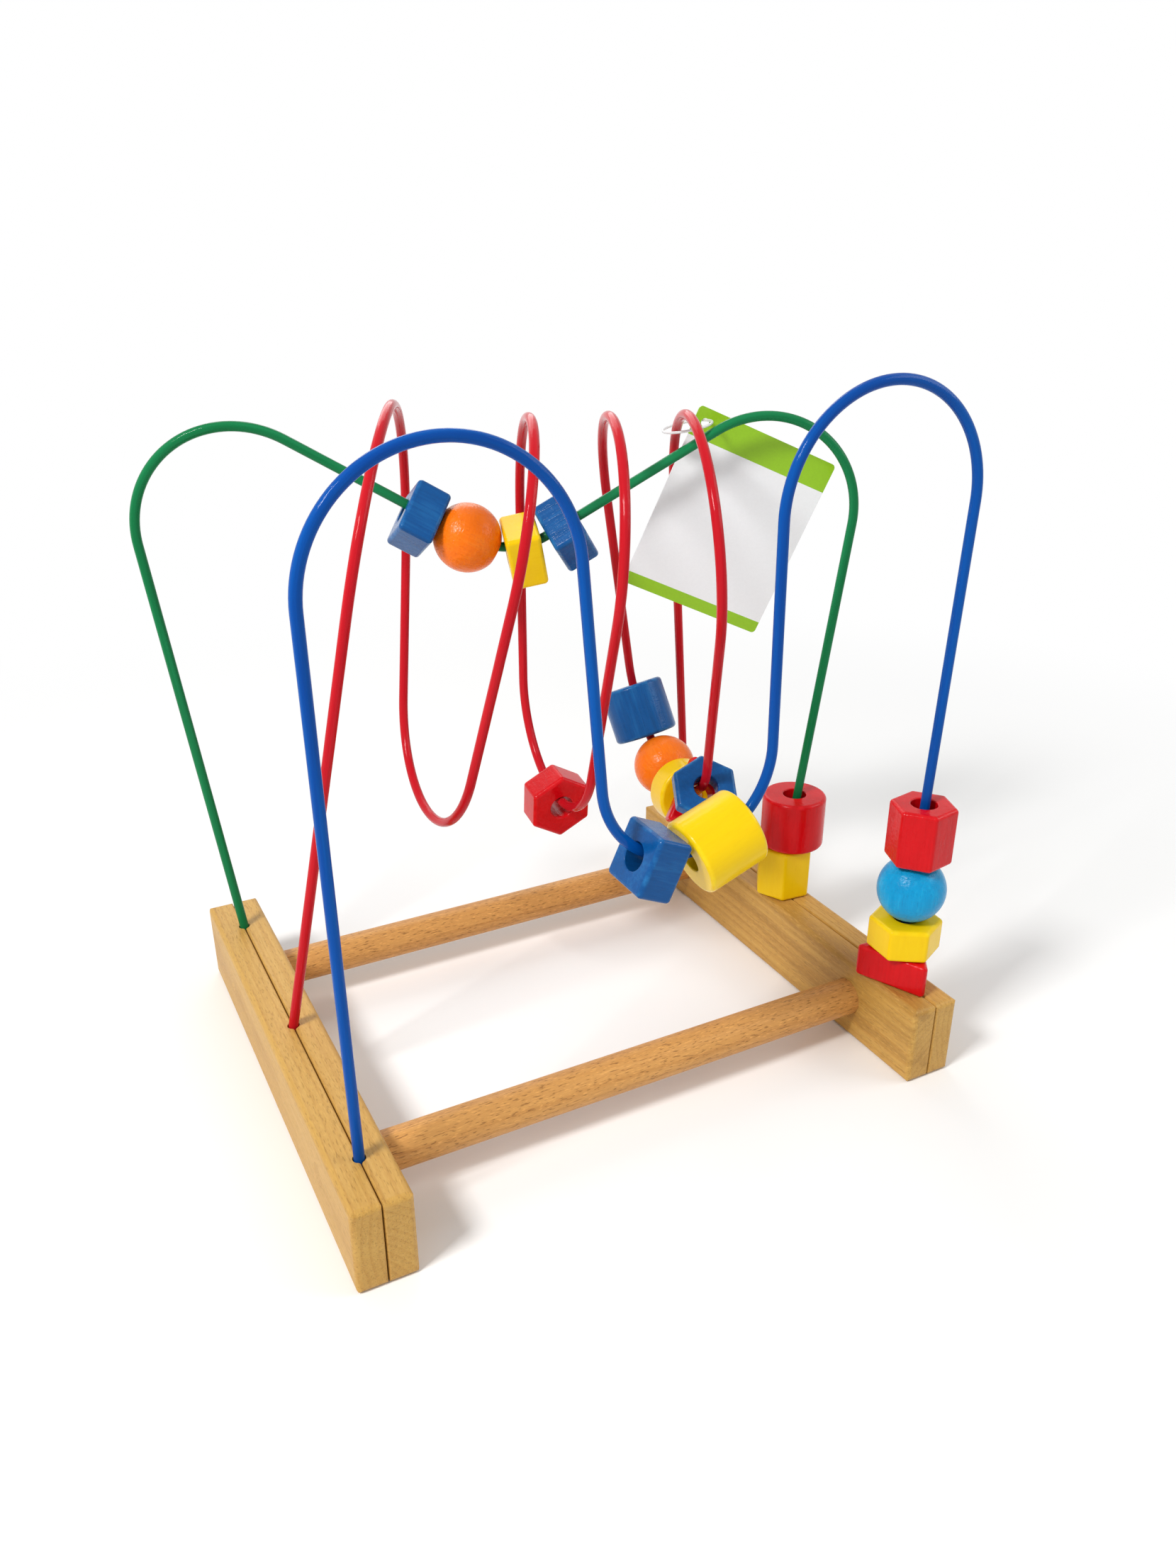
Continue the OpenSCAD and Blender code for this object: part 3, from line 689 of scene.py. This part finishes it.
def make_bead(name, shape, place, finish, number):
    """Bead piece over the solid of the same name, lofted through its rings and set in place."""
    rings, wear = shape
    count = len(rings)
    verts = [point for ring in rings for point in ring]
    faces = []
    for i in range(count):
        a, b = i * RING_POINTS, (i + 1) % count * RING_POINTS
        for j in range(RING_POINTS):
            k = (j + 1) % RING_POINTS
            faces.append((a + j, a + k, b + k, b + j))
    mesh = bpy.data.meshes.new(name + "_turned")
    mesh.from_pydata([place @ point * MM for point in verts], [], faces)
    mesh.update()
    grain = mesh.attributes.new("grain_place", "FLOAT_VECTOR", "POINT")
    shift = Vector((37.0, 91.0, 53.0)) * number
    for item, point in zip(grain.data, verts):
        item.vector = (point + shift) * MM
    edge = mesh.attributes.new("edge", "FLOAT", "POINT")
    worn = wear + [0.0] * (count - len(wear))
    for index, item in enumerate(edge.data):
        item.value = worn[index // RING_POINTS]
    mesh.shade_smooth()
    mesh.set_sharp_from_angle(angle=math.radians(50))
    maker = bpy.data.objects.new(name + "_maker", mesh)
    bpy.context.collection.objects.link(maker)
    weld = maker.modifiers.new("weld", "WELD")
    weld.merge_threshold = 0.03 * MM
    flats = maker.modifiers.new("flats", "WEIGHTED_NORMAL")
    flats.keep_sharp = True
    mesh.materials.append(finish)
    piece = plain_mesh(maker, name + "_turned")
    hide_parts(name)
    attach(piece, name)


# Places of the beads on their wires

def hung(point, along, hang, roll):
    """Place on a wire at a point, hanging by some length, turned by roll degrees round the bore."""
    rise = (UP - along * along.z).normalized()
    columns = Matrix((rise, along.cross(rise), along)).transposed().to_4x4()
    return Matrix.Translation(point - rise * hang) @ columns @ Matrix.Rotation(math.radians(roll), 4, "Z")


def stood(low, high, z, height, roll):
    """Upright place on a straight leg, with the underside at height z."""
    middle = low.lerp(high, (z + height / 2 - low.z) / (high.z - low.z))
    return Matrix.Translation(middle) @ Matrix.Rotation(math.radians(roll), 4, "Z")


def wire_rise(reach, radius):
    inner = radius - WIRE_D / 2
    return inner - math.sqrt(inner ** 2 - reach ** 2)


def hang_on(height, radius):
    """How far a bead of some length hangs below a wire bent to a radius."""
    return SLACK - wire_rise(height / 2, radius)


class Trough:
    """Bend of a run at corners i and i + 1, with beads at angles from its lowest point."""

    def __init__(self, run, i):
        points, radii = run
        self.centre = bend_centre(points, radii, i)
        self.normal = bend_normal(points, i)
        self.radius = radii[i]

    def place(self, degrees, height, roll):
        angle = math.radians(degrees)
        down = (self.normal * self.normal.z - UP).normalized()
        out = down * math.cos(angle) + self.normal.cross(down) * math.sin(angle)
        point = self.centre + out * self.radius
        return hung(point, self.normal.cross(out), hang_on(height, self.radius), roll)

    def half(self, half_height, reach):
        """Angle that half a bead takes up when it reaches so far above the wire."""
        a, b = half_height - BEAD_EDGE, self.radius - reach + BEAD_EDGE
        return math.degrees(math.atan2(a, b) + math.asin((BEAD_EDGE + BEAD_GAP / 2) / math.hypot(a, b)))

    def bead_half(self, height, width):
        return self.half(height / 2, width - hang_on(height, self.radius))


BALL_RUN = math.sqrt(BALL_D ** 2 - BORE_D ** 2)


def green_beads(run):
    """Four beads in the valley and two that stand at the right foot."""
    points, radii = run
    fall = (points[3] - points[2]).normalized()
    rise = (points[4] - points[3]).normalized()
    cut = cut_at(points, radii, 3)
    left_end, right_end = points[3] - fall * cut, points[3] + rise * cut
    ball_up = 1
    ball_hang = SLACK - wire_rise(BALL_RUN / 2 - ball_up, GREEN_VALLEY_BEND)
    square_up = ball_up + BALL_RUN / 2 + FLAT_H / 2 + BEAD_GAP
    level = Vector((fall.x, fall.y, 0)).normalized()
    angle = math.radians(10.5)
    valley_out = level * math.sin(angle) - UP * math.cos(angle)
    valley_along = level * math.cos(angle) + UP * math.sin(angle)
    valley_point = bend_centre(points, radii, 3) + valley_out * GREEN_VALLEY_BEND
    foot, top, floor = points[5], points[4], RAIL_HEIGHT + SEAT
    return [
        (square_shape(), hung(left_end - fall * square_up, fall, SLACK, 102), "blue"),
        (ball_shape(), hung(left_end - fall * ball_up, fall, ball_hang, 0), "orange"),
        (square_shape(), hung(valley_point, valley_along, hang_on(FLAT_H, GREEN_VALLEY_BEND), 62), "yellow"),
        (square_shape(), hung(right_end + rise * 8.5, rise, SLACK, 90), "blue"),
        (drum_shape(TALL_H), stood(foot, top, floor + TALL_H + BEAD_GAP, TALL_H, 0), "red"),
        (pillar_shape(), stood(foot, top, floor, TALL_H, -4), "yellow"),
    ]


def red_beads(run):
    """One bead in the second trough, and five in the third that follow on from the ball."""
    second, third = Trough(run, 8), Trough(run, 12)
    ball = -23
    ball_half = math.degrees(math.asin((BALL_D / 2 + BEAD_GAP / 2) / third.radius)) - 2.5
    drum_half = third.bead_half(FLAT_H, DRUM_D / 2)
    triangle_half = third.bead_half(THIN_H, TRIANGLE_SIDE / math.sqrt(3) - BEAD_EDGE)
    hexagon_half = third.bead_half(THIN_H, HEXAGON_W / 2)
    tall = ball - ball_half - third.bead_half(TALL_H, DRUM_D / 2)
    drum = ball + ball_half + drum_half
    triangle = drum + drum_half + triangle_half
    hexagon = triangle + triangle_half + hexagon_half
    return [
        (hexagon_shape(FLAT_H), second.place(-6, FLAT_H, 0), "red"),
        (drum_shape(TALL_H), third.place(tall, TALL_H, 0), "blue"),
        (ball_shape(), third.place(ball, BALL_RUN, 0), "orange"),
        (drum_shape(FLAT_H), third.place(drum, FLAT_H, 0), "yellow"),
        (triangle_shape(THIN_H), third.place(triangle, THIN_H, 0), "red"),
        (hexagon_shape(THIN_H), third.place(hexagon, THIN_H, 0), "blue"),
    ]


def blue_beads(run):
    """Two beads in the trough and four that stand at the right foot."""
    bowl = Trough(run, 4)
    drum = 21
    square = drum - bowl.bead_half(TALL_H, DRUM_D / 2) - bowl.bead_half(FLAT_H, SQUARE_W / 2)
    points = run[0]
    foot, top = points[8], points[7]
    triangle_z = RAIL_HEIGHT + SEAT
    hexagon_z = triangle_z + FLAT_H + BEAD_GAP
    ball_z = hexagon_z + FLAT_H + BEAD_GAP
    pillar_z = ball_z + BALL_RUN + BEAD_GAP
    return [
        (square_shape(), bowl.place(square, FLAT_H, 45), "blue"),
        (drum_shape(TALL_H), bowl.place(drum, TALL_H, 0), "yellow"),
        (pillar_shape(), stood(foot, top, pillar_z, TALL_H, 10), "red"),
        (ball_shape(), stood(foot, top, ball_z, BALL_RUN, 0), "sky"),
        (hexagon_shape(FLAT_H), stood(foot, top, hexagon_z, FLAT_H, -34), "yellow"),
        (triangle_shape(FLAT_H), stood(foot, top, triangle_z, FLAT_H, 24), "red"),
    ]


# Making

bpy.context.scene.view_settings.view_transform = "Standard"
add_camera()
add_world(fill=0.42, background=1.0)
add_soft_light("key", (-0.95, -0.35, 1.15), 0.3, 16)
add_soft_light("side", (0.9, -0.5, 0.8), 0.6, 3.6)
add_soft_light("rear", (0.2, 1.0, 0.9), 0.8, 4)
add_floor(40, (0.93, 0.93, 0.92), fade_start=0.3, fade_end=0.8)

SLAT_PALE, SLAT_LATE = (0.625, 0.372, 0.092), (0.445, 0.216, 0.039)
DOWEL_PALE, DOWEL_LATE = (0.699, 0.358, 0.104), (0.444, 0.184, 0.043)


def dress(name, finish):
    """Gives a solid its finish."""
    solids[name].data.materials.clear()
    solids[name].data.materials.append(finish)


dress("left_outer_slat", beech("beech_left_outer", "y", (-55, 20), SLAT_PALE, SLAT_LATE, 0.35))
dress("left_inner_slat", beech("beech_left_inner", "y", (-173, -25), SLAT_PALE, SLAT_LATE, 0.35))
dress("right_inner_slat", beech("beech_right_inner", "y", (188, -40), SLAT_PALE, SLAT_LATE, 0.35, 0.5))
dress("right_outer_slat", beech("beech_right_outer", "y", (230, 30), SLAT_PALE, SLAT_LATE, 0.35))
dress("front_dowel", beech("beech_front_dowel", "x", (-55, -20), DOWEL_PALE, DOWEL_LATE, 0.7))
dress("back_dowel", beech("beech_back_dowel", "x", (120, -30), DOWEL_PALE, DOWEL_LATE, 0.7))
dress("screw_plugs", beech("beech_plugs", "x", (30, -60), SLAT_PALE, SLAT_LATE, 0.35))
dress("frame_screws", plated_steel("zinc_plate"))
dress("tag_loop", nylon("nylon_loop"))
tag_swing = next(joint for joint in frame["joints"] if joint["name"] == "tag_swing")
green_level = Vector((2 * SEAM_X, -HOLE_OFFSET, 0)).normalized()
CARD_WHITE, CARD_GREEN = (0.86, 0.87, 0.88), (0.29, 0.55, 0.012)
dress("hang_tag", card("laminated_card", Vector(tag_swing["pos_m"]), green_level, CARD_WHITE, CARD_GREEN))

coats = {
    "green": coat("green_plastic", (0.004, 0.15, 0.045), (0.01, 0.205, 0.07)),
    "red": coat("red_plastic", (0.5, 0.006, 0.014), (0.59, 0.012, 0.02)),
    "blue": coat("blue_plastic", (0.001, 0.058, 0.308), (0.001, 0.089, 0.385)),
}
stains = {
    "blue": stain("blue_wood", (0.002, 0.05, 0.17), (0.004, 0.082, 0.28), (0.024, 0.2, 0.47), 0.6, 0.1),
    "red": stain("red_wood", (0.426, 0.001, 0.003), (0.617, 0.002, 0.006), (0.788, 0.013, 0.018), 0.4, 0.1),
    "yellow": stain("yellow_wood", (0.8, 0.47, 0.001), (0.9, 0.59, 0.001), (0.93, 0.71, 0.017), 0.3, 0.08),
    "orange": stain("orange_wood", (0.76, 0.13, 0.002), (0.9, 0.175, 0.004), (0.93, 0.32, 0.04), 0.5, 0.28),
    "sky": stain("sky_wood", (0.002, 0.215, 0.475), (0.003, 0.311, 0.615), (0.043, 0.57, 0.793), 0.6, 0.28),
}
runs = {"green": green_run(), "red": red_run(), "blue": blue_run()}
sweep_tree = wire_tree()
for colour, run in runs.items():
    make_wire(colour + "_wire", run, coats[colour], sweep_tree)

beads = {"green": green_beads(runs["green"]), "red": red_beads(runs["red"]), "blue": blue_beads(runs["blue"])}
number = 0
for wire, row in beads.items():
    for index, (shape, place, colour) in enumerate(row, 1):
        number += 1
        make_bead(f"{wire}_bead_{index}", shape, place, stains[colour], number)
